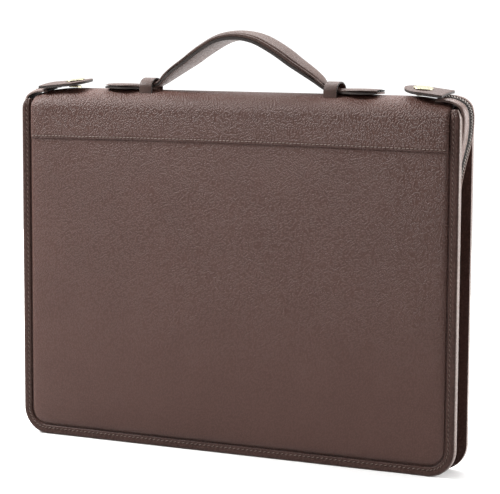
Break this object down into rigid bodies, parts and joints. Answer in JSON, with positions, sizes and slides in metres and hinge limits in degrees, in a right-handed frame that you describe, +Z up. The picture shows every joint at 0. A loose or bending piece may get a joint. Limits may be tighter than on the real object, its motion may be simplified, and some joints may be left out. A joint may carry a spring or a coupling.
{
  "type": "zip-round leather document case",
  "caption": "Padded leather document case for A4 papers, zipped shut round its covers, with an arched carry handle on the spine and press-stud tabs over the zip's ends.",
  "frame": {"origin": "under the middle of the case, on the surface that it stands on", "axes": "+Z up from the lower edge to the handle, +X along the width to the right of the front cover, +Y through the depth from the front cover to the back cover"},
  "size_m": [0.3778, 0.037, 0.3262],
  "materials": {
    "cover_leather": "pebble-grained dark brown leather, satin",
    "binding_leather": "folded dark brown leather strip, stitched",
    "strap_leather": "smooth dark brown strap leather, satin, with painted edges",
    "zip": "moulded black zip teeth on woven black tape",
    "slider": "die-cast metal, dark bronze lacquer",
    "stud": "pale brass, pressed and polished",
    "thread": "bonded brown sewing thread"
  },
  "bodies": {
    "root": {"front_panel": "cover_leather", "back_panel": "cover_leather", "top_wrap": "cover_leather", "front_binding": "binding_leather", "back_binding": "binding_leather", "front_gusset": "strap_leather", "back_gusset": "strap_leather", "zip_chain": "zip", "zip_slider": "slider", "tab_left": "strap_leather", "tab_right": "strap_leather", "stud_cap_left": "stud", "stud_cap_right": "stud", "stud_base_left": "stud", "stud_base_right": "stud", "handle_upper": "strap_leather", "handle_lower": "strap_leather", "keeper_left": "strap_leather", "keeper_right": "strap_leather"}
  },
  "joints": []
}
